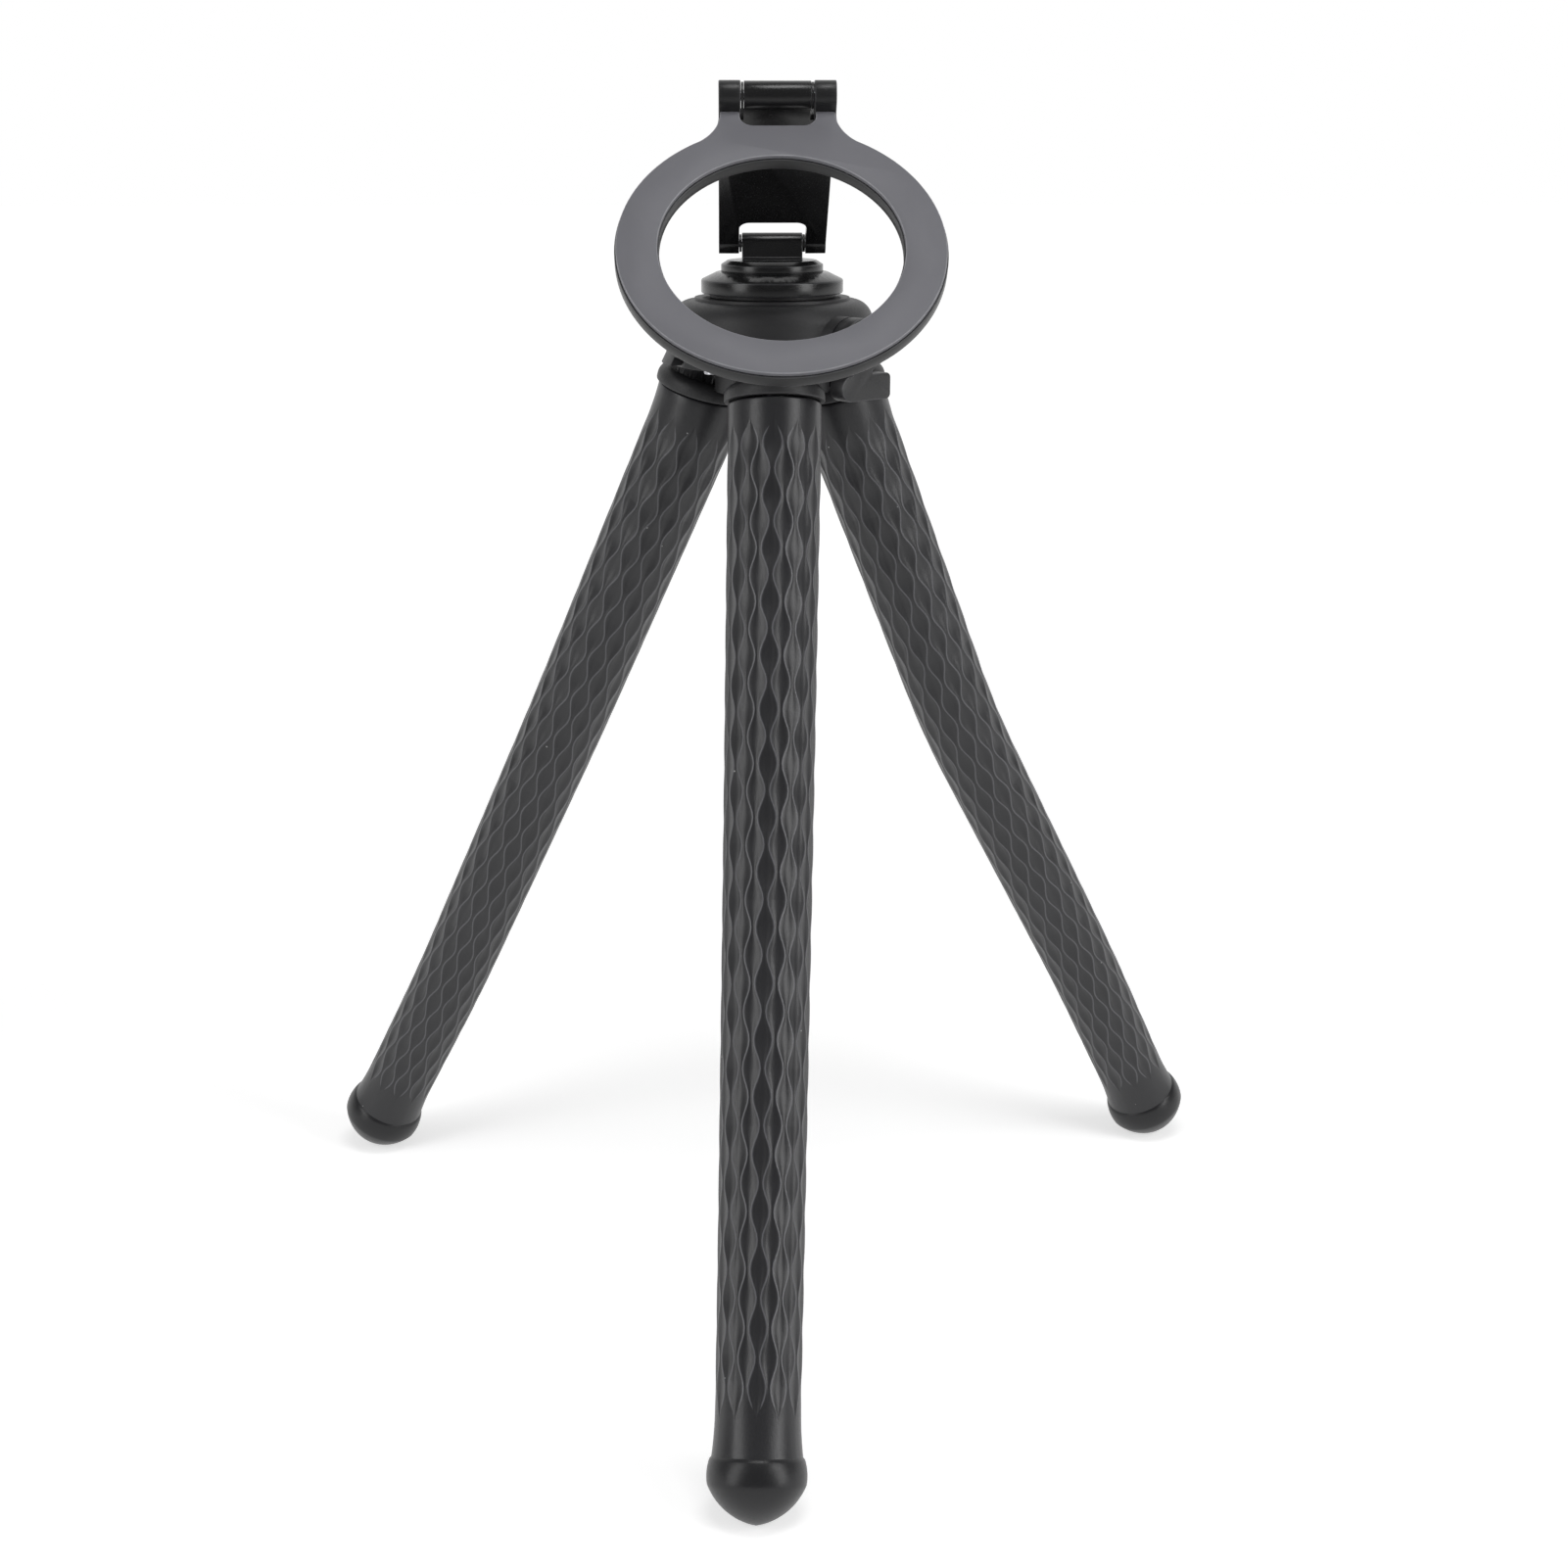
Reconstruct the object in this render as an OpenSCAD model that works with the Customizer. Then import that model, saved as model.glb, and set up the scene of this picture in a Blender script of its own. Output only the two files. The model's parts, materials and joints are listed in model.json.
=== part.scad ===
// Flexible three-legged phone stand: bendable rubber legs, a swivelling hub with a side lock,
// a folding arm and a magnetic ring. Millimetres, +Z up.
// The origin lies on the ground under the swivel axis, and the ring faces -Y.

/* [Legs] */
// Diameter of the rubber sleeve at the hub
leg_root_d = 17.5; // [15:0.1:19]
// Diameter of the sleeve just above its flared end
leg_tip_d = 14.9; // [12.5:0.1:17]
// Distance between two bending points of a leg
link_len = 38; // [30:0.5:50]
// Last bending point to the widest place of the foot
tip_len = 43; // [34:0.5:60]
// Splay of the front leg's upper half from the vertical
root_splay = 25; // [17:0.5:36]
// Outward bend of the front leg at its third bending point
front_knee = 2.4; // [-4:0.1:8]
// Outward bend of the front leg at its fifth bending point
front_ankle = 2.4; // [-4:0.1:6]
// Outward bend of the right leg at its third bending point
right_knee = 6.4; // [-4:0.1:8]
// Outward bend of the right leg at its fifth bending point
right_ankle = -2; // [-4:0.1:6]
// Outward bend of the left leg at its third bending point
left_knee = 1; // [-4:0.1:8]
// Outward bend of the left leg at its fifth bending point
left_ankle = 2.3; // [-4:0.1:6]
// Turn of the front leg out of its cup's own direction
front_turn = -3.8; // [-6:0.1:6]
// Turn of the right leg out of its cup's own direction
right_turn = -1.4; // [-6:0.1:6]
// Turn of the left leg out of its cup's own direction
left_turn = 1.9; // [-6:0.1:6]
// Bend that the sleeve ends and the cups leave room for
bend_room = 47; // [30:1:52]
// Diameter of the bendable core
core_d = 5; // [3:0.1:6]
// Wall of the sleeve above the upper end of a core
core_cover = 1.2; // [0.4:0.1:2]

/* [Feet] */
// Widening of the sleeve's lower end, all round
flare = 0.75; // [0:0.05:1.5]
// Length of that flared end
flare_len = 9; // [4:0.5:14]
// Overhang of the round foot beyond the flared end, all round
foot_over = 0.85; // [0.6:0.05:2]
// Widest place of the foot to its top face
foot_top = 3.2; // [1.5:0.1:3.6]
// Widest place of the foot to its tip
foot_tip = 8.5; // [7:0.1:10]
// Radius of the foot's flank
foot_flank_r = 11.6; // [10:0.1:14]
// Slope of the flank at the tip
foot_point = 9; // [0:0.5:16]
// Diameter of the foot's stem in the sleeve
stem_d = 8; // [5:0.1:10]
// Length of the foot's stem
stem_len = 9; // [5:0.5:14]

/* [Leg hub] */
// Overhang of a cup beyond the sleeve, all round
cup_over = 1.05; // [0.9:0.05:2]
// Height of a cup's wall
cup_h = 3.3; // [2.6:0.1:4]
// Radius of a cup's rounded shoulder
cup_shoulder = 2.2; // [1:0.1:2.5]
// Lean of a cup from the vertical
cup_lean = 17; // [12:0.5:20]
// Middle of a cup's mouth, in from the dome's side
cup_in = 4; // [3.5:0.1:4.5]
// Cup mouth to the first bending point
root_gap = 4.8; // [4.4:0.1:7]
// Diameter of an anchor plug
anchor_d = 6.4; // [4:0.1:6.6]
// Length of an anchor plug
anchor_len = 6; // [4:0.5:7]
// Wall round an anchor plug
anchor_wall = 1; // [0.6:0.1:1.1]
// Thickness of the plate that closes the dome
plate_t = 2.6; // [1.6:0.1:3]
// Middle of the hub's screws, in from the dome's side
hub_screw_in = 6.3; // [6:0.1:6.6]
// Diameter of the hub's screws
hub_screw_d = 2; // [1.6:0.1:2.2]
// Length of the hub's screws
hub_screw_len = 6.5; // [5:0.5:7.5]

/* [Dome] */
// Diameter of the dome below its shoulder
dome_neck_d = 39.8; // [39:0.1:44]
// Widening of the dome's side down to its skirt
side_taper = 1.2; // [0.4:0.1:1.6]
// Overhang of the skirt's edge beyond the dome's neck
skirt_over = 2.1; // [1.8:0.1:3]
// Height of the flared skirt
skirt_h = 1.8; // [1:0.1:2.2]
// Gap between the skirt and the cups
skirt_gap = 0.9; // [0.5:0.1:2]
// Height of the dome from its skirt to its top
dome_h = 12.5; // [12:0.1:16]
// Radius of the dome's shoulder
dome_shoulder = 4; // [2:0.1:4.4]
// Step from the shoulder in to the raised land
land_edge = 0.6; // [0.2:0.1:1.5]
// Height of the raised land under the swivel disc
land_h = 0.5; // [0.2:0.1:0.8]
// Thickness of the dome's top
dome_top_t = 2.6; // [2:0.1:3]
// Wall of the dome
dome_wall = 1.7; // [1.2:0.1:2]
// Wall of the dome's screw bosses
boss_wall = 1.2; // [0.8:0.1:1.5]
// Seat of the plate above the skirt's edge
plate_up = 2; // [1.7:0.1:2.3]
// Width of the notches in the skirt
notch_w = 4.4; // [2:0.1:6]
// Height of the notches in the skirt
notch_h = 1.6; // [0.8:0.1:1.7]

/* [Lock] */
// Direction of the lock screw round the swivel axis
lock_angle = -50; // [-52:1:-46]
// Height of the lock screw above the skirt's edge
lock_up = 4.6; // [4.4:0.1:5]
// Diameter of the lock screw
lock_d = 3; // [2.4:0.1:3.4]
// Diameter of the brake shoe
shoe_d = 3.6; // [3.2:0.1:4]
// Length of the brake shoe
shoe_len = 5; // [4:0.1:6]
// Wall of the brake shoe's guide
guide_wall = 1; // [0.6:0.1:1.2]
// Stand-off of the lever's seat beyond the skirt
seat_over = 0.3; // [0.1:0.1:1]
// Diameter of the lever's round boss
lever_d = 10.6; // [9:0.1:12]
// Thickness of the lever
lever_t = 3.6; // [2.6:0.1:5]
// Height of the thumb bar
bar_h = 5; // [3.5:0.1:6]
// Radius of the thumb bar's corners at its long end
bar_r = 1; // [0.5:0.1:1.7]
// Middle of the thumb bar below the lock screw
bar_down = 7.8; // [7:0.1:9]
// Reach of the thumb bar to its long end
bar_long = 7.4; // [6:0.1:14]
// Reach of the thumb bar to its short end
bar_short = 5.4; // [3:0.1:6]

/* [Swivel] */
// Diameter of the swivel disc
disc_d = 28; // [26:0.1:30]
// Height of the swivel disc's straight side
disc_h = 2.6; // [2:0.1:4]
// Width of the swivel disc's sloping shoulder
disc_slope_w = 2.95; // [1.5:0.05:3.5]
// Height of the swivel disc's sloping shoulder
disc_slope_h = 1.4; // [0.6:0.1:2]
// Diameter of the hinge base
base_d = 20.1; // [18:0.1:22]
// Height of the hinge base's straight side
base_h = 1.5; // [1.2:0.1:3]
// Height of the hinge base's chamfer
base_chamfer_h = 0.8; // [0.4:0.1:1.4]
// Width of the hinge base's chamfer
base_chamfer_w = 1.3; // [0.4:0.1:2]
// Diameter of the spindle
spindle_d = 6; // [5:0.1:6.6]
// Wall left above the spindle in the hinge base
spindle_cover = 1.4; // [0.8:0.1:1.8]
// Thickness of the friction pad
pad_t = 0.7; // [0.4:0.1:1.2]
// Diameter of the friction pad
pad_d = 24.6; // [20:0.1:27]
// Wall of the swivel bush
bush_wall = 2; // [1:0.1:2.5]
// Thickness of the spring washer
washer_t = 0.6; // [0.4:0.1:0.8]
// Width of the spindle nut across its flats
nut_w = 10; // [9:0.1:11]
// Thickness of the spindle nut
nut_t = 1.8; // [1.5:0.1:2.2]

/* [Arm] */
// Width of the arm
arm_w = 20.9; // [19:0.1:23]
// Thickness of the arm
arm_t = 2.6; // [2:0.1:3]
// Distance between the arm's two hinge axes
arm_len = 46; // [42:0.5:54]
// Forward lean of the arm as it stands
arm_lean = 53.4; // [45:0.1:60]
// Width of the lug on the hinge base
lug_w = 11.8; // [10:0.1:12.8]
// Step round the foot of the lug
lug_step = 0.5; // [0.2:0.1:1]
// Gap between the lower knuckles and the hinge base
knuckle_gap = 1.2; // [0.3:0.1:2]
// Diameter of the lower hinge's knuckles
low_knuckle_d = 4; // [3.4:0.1:4.6]
// Height of the notch above the lower hinge axis
arm_notch = 8.7; // [4.5:0.1:10]
// Radius of the notch's corners
arm_notch_r = 2; // [0.5:0.1:3]
// Diameter of the upper barrel
barrel_d = 5; // [4:0.1:5.6]
// Width of the upper barrel
barrel_w = 11.9; // [10:0.1:12.8]
// Diameter of the lower hinge pin
low_pin_d = 1.6; // [1.2:0.1:2]
// Diameter of the upper hinge pin
up_pin_d = 1.8; // [1.4:0.1:2.4]
// Depth of the pins' ends below the ears
pin_sink = 0.3; // [0.1:0.1:0.8]
// Thickness of the hinge washers
hinge_washer_t = 0.4; // [0.2:0.05:0.6]
// Step of the hinge washers in from the knuckles
hinge_washer_in = 0.3; // [0.1:0.1:0.5]

/* [Ring] */
// Outer diameter of the ring
ring_od = 57; // [54:0.1:62]
// Width of the ring's band
ring_band = 7.6; // [6:0.1:9]
// Upper hinge axis to the ring's edge
neck_len = 6; // [5.4:0.1:10]
// Slope of the ring towards the front as it stands
ring_slope = 43.2; // [38:0.1:55]
// Thickness of the housing's floor under the magnets
ring_floor = 0.6; // [0.5:0.1:1.2]
// Wall of the housing beside the magnets
ring_wall = 1; // [0.6:0.1:1.6]
// Thickness of the ring face
face_t = 0.8; // [0.5:0.1:1.2]
// Step from the housing's edge to the face's edge
face_inset = 0.25; // [0.1:0.05:0.6]
// Height of the upper hinge axis above the ring face
axis_lift = 1.3; // [1:0.1:1.6]
// Diameter of the ring's ears
ear_d = 5.2; // [4.4:0.1:5.6]
// Reach of the ears' blocks behind the hinge axis
ear_back = 1.6; // [0.8:0.1:2]
// Radius of the fillets between neck and ring
neck_fillet = 8.5; // [6:0.5:10]
// Depth of the neck's recess below the hinge axis
recess = 5.8; // [5:0.1:6.4]
// Radius of the recess's corners
recess_r = 2.5; // [1:0.1:3]
// Thickness of the magnets
magnet_t = 1.2; // [1:0.1:2]
// Number of magnets
magnet_count = 16; // [12:1:24]
// Gap between two magnets
magnet_gap = 0.6; // [0.2:0.1:1.5]
// Thickness of the steel yoke ring
yoke_t = 0.4; // [0.3:0.05:1]

/* [Hidden] */
$fn = 96;
// Radial gap of a pin or shaft that turns
running_fit = 0.05;
// Radial gap of pieces that are pushed together
push_fit = 0.02;
// Gap between faces that move past each other
move_gap = 0.3;
// Gap between faces that slide on a thin film
face_gap = 0.1;
// Room that a hole keeps beyond the end of what goes into it
end_room = 0.5;
// Room between the hub's middle and the heads of its screws
head_room = 0.4;
// Edge of the plate, in from the dome's neck
plate_edge = 0.7;
// Wall left between a cup's hollow and its anchor plug
anchor_sink = 1;
// Height and diameter of a pan head, as shares of the screw's diameter
head_h_ratio = 0.6;
head_d_ratio = 1.8;
// How far pieces of one solid run into each other
weld = 0.2;
// How far the circle of a neck fillet runs into the ring
fillet_sink = 0.05;
// Height that is trimmed off the point of a foot
tip_trim = 0.05;

LEG_NAMES = ["front", "right", "left"];
LINKS = 5;
cup_angles = [-90, 30, 150];
leg_turns = [front_turn, right_turn, left_turn];
between_cups = [-150, -30, 90];

foot_d = leg_tip_d + 2 * (flare + foot_over);
leg_len = (LINKS - 1) * link_len + tip_len;
sleeve_end = tip_len - foot_top;
function leg_r(s) = (leg_root_d + (leg_tip_d - leg_root_d) * s / leg_len) / 2;

// Each leg stands with the middle of its foot's flank one flank radius above the ground
knees = [front_knee, right_knee, left_knee];
ankles = [front_ankle, right_ankle, left_ankle];
flank_along = foot_tip - foot_flank_r * cos(foot_point);
flank_across = foot_flank_r * sin(foot_point);
function flank_drop(k, a) = 2 * link_len * (cos(a) + cos(a + knees[k]))
    + (tip_len + flank_along) * cos(a + knees[k] + ankles[k]) - flank_across * sin(a + knees[k] + ankles[k]);
root_z = flank_drop(0, root_splay) + foot_flank_r;
// The drop is a cosine of the lean, which two of its values give
function leg_lean(k) =
    acos((root_z - foot_flank_r) / norm([flank_drop(k, 0), flank_drop(k, -90)]))
    - atan2(flank_drop(k, -90), flank_drop(k, 0));
leans = [for (k = [0:2]) leg_lean(k)];
function splay(k, i) = leans[k] + (i < 2 ? 0 : knees[k]) + (i < LINKS - 1 ? 0 : ankles[k]);
function leg_reach(k, i) = i == 0 ? 0 : leg_reach(k, i - 1) + link_len * sin(splay(k, i - 1));
function leg_drop(k, i) = i == 0 ? 0 : leg_drop(k, i - 1) + link_len * cos(splay(k, i - 1));

dome_d = dome_neck_d + 2 * skirt_over;
dome_bore_d = dome_neck_d - 2 * dome_wall;
plate_d = dome_neck_d - 2 * plate_edge;
cup_d = leg_root_d + 2 * cup_over;
cup_out = dome_neck_d / 2 - cup_in;
cup_rise = (cup_d / 2 - cup_shoulder) * sin(cup_lean) + (cup_h - cup_shoulder) * cos(cup_lean) + cup_shoulder;
socket_r = leg_root_d / 2 + move_gap;
anchor_end = root_gap - socket_r - anchor_sink;
hub_screw_out = dome_neck_d / 2 - hub_screw_in;

root_out = cup_out + root_gap * sin(cup_lean);
mouth_z = root_z + root_gap * cos(cup_lean);
skirt_z = mouth_z + cup_rise + skirt_gap;
shelf_z = skirt_z + plate_up;
plate_z = shelf_z - plate_t;
dome_z = skirt_z + dome_h;
ceiling_z = dome_z - dome_top_t;
lock_z = skirt_z + lock_up;
shoe_start = spindle_d / 2 + move_gap;
shoe_end = shoe_start + shoe_len;
nut_d = nut_w / cos(30);
seat_end = dome_d / 2 + seat_over;
lever_start = seat_end + move_gap;
lever_end = lever_start + lever_t;

bush_d = spindle_d + 2 * bush_wall;
disc_z = dome_z + face_gap + pad_t;
base_z = disc_z + disc_h + disc_slope_h;
base_top = base_z + base_h + base_chamfer_h;
spindle_end = shelf_z + move_gap;
spindle_top = base_top - spindle_cover;
washer_z = ceiling_z - face_gap - washer_t;
nut_z = washer_z - nut_t;

low_axis_z = base_top + low_knuckle_d / 2 + knuckle_gap;
hinge_gap = hinge_washer_t + 2 * face_gap;
low_ear_in = lug_w / 2 + hinge_gap;
ear_in = barrel_w / 2 + hinge_gap;
pin_len = arm_w - 2 * pin_sink;
up_axis_y = -arm_len * sin(arm_lean);
up_axis_z = low_axis_z + arm_len * cos(arm_lean);

ring_id = ring_od - 2 * ring_band;
ring_reach = ring_od / 2 + neck_len;
housing_t = ring_floor + yoke_t + magnet_t;
face_z = -axis_lift - face_t;
housing_z = face_z - housing_t;
pocket_z = housing_z + ring_floor;
pocket_in = ring_id / 2 + ring_wall;
pocket_out = ring_od / 2 - ring_wall;
arm_shoulder = norm([ear_d / 2, housing_z]) + move_gap;

rubber = [0.24, 0.24, 0.26];
foot_rubber = [0.2, 0.2, 0.21];
shell_grey = [0.3, 0.3, 0.32];
satin_black = [0.1, 0.1, 0.11];
face_grey = [0.44, 0.43, 0.46];
steel = [0.7, 0.7, 0.72];
brass = [0.78, 0.62, 0.3];
wire_grey = [0.62, 0.62, 0.64];

// Frames that the pieces are drawn in

// Cup k: local +Z runs down and out along the cup, zero at its mouth
module at_cup(k)
    rotate([0, 0, cup_angles[k]])
        translate([cup_out, 0, mouth_z])
            rotate([0, 180 - cup_lean, 0]) children();

// Link i of leg k: local +Z runs along the link, zero at its bending point
module at_link(k, i)
    rotate([0, 0, cup_angles[k]])
        translate([root_out, 0, root_z])
            rotate([0, 0, leg_turns[k]])
                translate([leg_reach(k, i), 0, -leg_drop(k, i)])
                    rotate([0, 180 - splay(k, i), 0]) children();

// Lock: local +Z runs outwards along the lock screw, local +X along the thumb bar, local +Y up
module at_lock()
    translate([0, 0, lock_z])
        rotate([0, 0, lock_angle + 90])
            rotate([90, 0, 0]) children();

// Screws of the hub, between the cups, each at the height z
module at_hub_screws(z)
    for (a = between_cups)
        rotate([0, 0, a]) translate([hub_screw_out, 0, z]) children();

// Arm: local +Z runs up the arm from the lower hinge axis
module at_arm()
    translate([0, 0, low_axis_z])
        rotate([arm_lean, 0, 0]) children();

// Ring: local +Z is the ring face's normal, local -Y runs from the hinge axis to the ring
module at_ring()
    translate([0, up_axis_y, up_axis_z])
        rotate([ring_slope, 0, 0]) children();

// Shapes that repeat

// A bar along X, from x0 to x1
module x_bar(d, x0, x1)
    translate([x0, 0, 0])
        rotate([0, 90, 0]) cylinder(d = d, h = x1 - x0);

// A flat washer on the XY plane
module washer(od, id, t)
    linear_extrude(t) difference() {
        circle(d = od);
        circle(d = id);
    }

// A pan-head screw whose head ends at zero and whose shank runs along +Z
module pan_screw(d, len) {
    translate([0, 0, -head_h_ratio * d]) cylinder(d = head_d_ratio * d, h = head_h_ratio * d);
    translate([0, 0, -weld]) cylinder(d = d, h = len + weld);
}

// A slot with rounded upper corners, from bottom to top
module round_top_slot(w, bottom, top, r) {
    translate([-w / 2, bottom]) square([w, top - r - bottom]);
    translate([-w / 2 + r, bottom]) square([w - 2 * r, top - bottom]);
    for (side = [-1, 1]) translate([side * (w / 2 - r), top - r]) circle(r = r);
}

// The ring's outline with its neck, drawn smaller by inset
module ring_outline(inset) {
    half = arm_w / 2 - inset;
    r = ring_od / 2 - inset;
    fillet = neck_fillet + inset;
    fillet_x = half + fillet;
    fillet_y = sqrt(pow(r + fillet - fillet_sink, 2) - pow(fillet_x, 2)) - ring_reach;
    touch_x = fillet_x * r / (r + fillet);
    translate([0, -ring_reach]) circle(r = r);
    difference() {
        translate([-touch_x, -ring_reach]) square([2 * touch_x, ring_reach]);
        for (side = [-1, 1]) translate([side * fillet_x, fillet_y]) circle(r = fillet);
        for (side = [0, 1]) mirror([side, 0]) translate([half, fillet_y]) square(ring_reach);
    }
}

// The neck's recess round the barrel
module neck_recess(inset)
    rotate(180) round_top_slot(2 * (ear_in + inset), -recess, recess + inset, recess_r);

// Room for a round end of radius r - move_gap and the sleeve beyond it, tilted any way by bend_room
module swing_room(r) {
    circle(r = r);
    polygon([
        [0, -r * sin(bend_room)], [r * cos(bend_room), -r * sin(bend_room)],
        [r / cos(bend_room), 0], [r / cos(bend_room), r], [0, r]
    ]);
}

// The hub

module cup_outline() {
    r = cup_d / 2;
    translate([0, -cup_h]) square([r - cup_shoulder, cup_h]);
    translate([0, cup_shoulder - cup_h]) square([r, cup_h - cup_shoulder]);
    intersection() {
        translate([r - cup_shoulder, cup_shoulder - cup_h]) circle(r = cup_shoulder);
        translate([0, -cup_h]) square([r, cup_h]);
    }
}

module leg_hub() color(shell_grey) difference() {
    union() {
        translate([0, 0, plate_z]) cylinder(d = plate_d, h = plate_t);
        translate([0, 0, mouth_z + end_room])
            cylinder(r = hub_screw_out - head_d_ratio * hub_screw_d / 2 - head_room, h = plate_z - mouth_z);
        for (k = [0:2]) {
            at_cup(k) rotate_extrude() cup_outline();
            intersection() {
                at_cup(k) translate([0, 0, -2 * cup_h - plate_t])
                    cylinder(r = cup_d / 2 - cup_shoulder, h = 2 * cup_h + plate_t);
                translate([0, 0, mouth_z]) cylinder(d = plate_d, h = shelf_z - mouth_z);
            }
            at_cup(k) translate([0, 0, anchor_end - anchor_len])
                cylinder(d = anchor_d + 2 * anchor_wall, h = anchor_len);
        }
    }
    for (k = [0:2]) at_cup(k) {
        translate([0, 0, root_gap]) rotate_extrude() intersection() {
            swing_room(socket_r);
            translate([0, -socket_r]) square(2 * socket_r);
        }
        translate([0, 0, anchor_end - anchor_len - end_room])
            cylinder(d = anchor_d + 2 * push_fit, h = anchor_len + anchor_sink + 2 * end_room);
    }
    at_hub_screws(plate_z - end_room)
        cylinder(d = hub_screw_d + 2 * running_fit, h = plate_t + 2 * end_room);
}

module leg_anchors() color(steel)
    for (k = [0:2]) at_cup(k) translate([0, 0, anchor_end - anchor_len])
        cylinder(d = anchor_d, h = anchor_len);

module hub_screws() color(steel)
    at_hub_screws(plate_z) pan_screw(hub_screw_d, hub_screw_len);

module dome_outline() {
    neck_r = dome_neck_d / 2;
    shoulder_y = dome_h - land_h - dome_shoulder;
    polygon([
        [0, 0], [neck_r + skirt_over, 0], [neck_r + side_taper, skirt_h], [neck_r, shoulder_y], [0, shoulder_y]
    ]);
    translate([0, shoulder_y - weld]) square([neck_r - dome_shoulder, dome_shoulder + weld]);
    translate([neck_r - dome_shoulder, shoulder_y]) intersection() {
        circle(r = dome_shoulder);
        translate([-dome_shoulder, 0]) square([2 * dome_shoulder, dome_shoulder]);
    }
    translate([0, dome_h - land_h - weld]) square([neck_r - dome_shoulder - land_edge, land_h + weld]);
}

module dome() color(shell_grey) difference() {
    union() {
        difference() {
            union() {
                translate([0, 0, skirt_z]) rotate_extrude() dome_outline();
                at_lock() translate([0, 0, dome_bore_d / 2]) cylinder(d = lever_d, h = seat_end - dome_bore_d / 2);
            }
            translate([0, 0, shelf_z]) cylinder(d = dome_bore_d, h = ceiling_z - shelf_z);
            translate([0, 0, skirt_z - lever_d]) cylinder(d = plate_d + 2 * move_gap, h = lever_d + plate_up);
            for (a = between_cups) rotate([0, 0, a])
                translate([dome_bore_d / 2, -notch_w / 2, skirt_z - end_room])
                    cube([dome_d, notch_w, notch_h + end_room]);
        }
        at_hub_screws(shelf_z) cylinder(d = hub_screw_d + 2 * boss_wall, h = ceiling_z - shelf_z + weld);
        intersection() {
            at_lock() translate([0, 0, nut_d / 2 + end_room])
                cylinder(d = shoe_d + 2 * guide_wall, h = dome_bore_d / 2 - nut_d / 2);
            translate([0, 0, shelf_z]) cylinder(d = dome_bore_d + 2 * weld, h = ceiling_z - shelf_z);
        }
    }
    translate([0, 0, ceiling_z - end_room]) cylinder(d = bush_d + 2 * push_fit, h = dome_top_t + 2 * end_room);
    at_hub_screws(shelf_z - end_room)
        cylinder(d = hub_screw_d + 2 * push_fit, h = hub_screw_len - plate_t + 2 * end_room);
    at_lock() {
        cylinder(d = shoe_d + 2 * running_fit, h = shoe_end + end_room);
        cylinder(d = lock_d + 2 * running_fit, h = seat_end + end_room);
    }
}

module swivel_bush() color(brass)
    translate([0, 0, ceiling_z]) washer(bush_d, spindle_d + 2 * running_fit, dome_top_t);

module brake_shoe() color(foot_rubber)
    at_lock() translate([0, 0, shoe_start]) cylinder(d = shoe_d, h = shoe_len);

// The lock lever

module lever_outline() {
    r = bar_h / 2;
    circle(d = lever_d);
    translate([-lever_d / 4, -bar_down]) square([lever_d / 2, bar_down]);
    translate([-bar_short + r, -bar_down - r]) square([bar_short + bar_long - r - bar_r, bar_h]);
    translate([bar_long - r, -bar_down - r + bar_r]) square([r, bar_h - 2 * bar_r]);
    for (side = [-1, 1]) translate([bar_long - bar_r, -bar_down + side * (r - bar_r)]) circle(r = bar_r);
    translate([-bar_short + r, -bar_down]) circle(r = r);
}

module lock_lever() color(satin_black)
    at_lock() translate([0, 0, lever_start]) linear_extrude(lever_t) difference() {
        lever_outline();
        circle(d = lock_d + 2 * push_fit);
    }

module lock_screw() color(steel)
    at_lock() difference() {
        translate([0, 0, shoe_end + face_gap]) cylinder(d = lock_d, h = lever_end - shoe_end - face_gap);
        translate([0, 0, lever_start - end_room])
            cylinder(d = lock_d / 2 + 2 * push_fit, h = lever_t + 2 * end_room);
    }

module lever_screw() color(satin_black)
    at_lock() translate([0, 0, lever_end]) {
        cylinder(d = head_d_ratio * lock_d, h = head_h_ratio * lock_d / 2);
        translate([0, 0, -lever_t]) cylinder(d = lock_d / 2, h = lever_t + weld);
    }

// The swivel

module swivel_disc() color(satin_black)
    translate([0, 0, disc_z]) difference() {
        union() {
            cylinder(d = disc_d, h = disc_h);
            translate([0, 0, disc_h])
                cylinder(d1 = disc_d, d2 = disc_d - 2 * disc_slope_w, h = disc_slope_h);
        }
        translate([0, 0, -end_room])
            cylinder(d = spindle_d + 2 * push_fit, h = disc_h + disc_slope_h + 2 * end_room);
    }

module friction_pad() color(foot_rubber)
    translate([0, 0, dome_z + face_gap]) washer(pad_d, bush_d, pad_t);

module swivel_spindle() color(steel)
    translate([0, 0, spindle_end]) cylinder(d = spindle_d, h = spindle_top - spindle_end);

module spindle_washer() color(steel)
    translate([0, 0, washer_z]) washer(nut_d, spindle_d + 2 * push_fit, washer_t);

module spindle_nut() color(steel)
    translate([0, 0, nut_z]) difference() {
        cylinder(d = nut_d, h = nut_t, $fn = 6);
        translate([0, 0, -end_room]) cylinder(d = spindle_d + 2 * push_fit, h = nut_t + 2 * end_room);
    }

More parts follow.
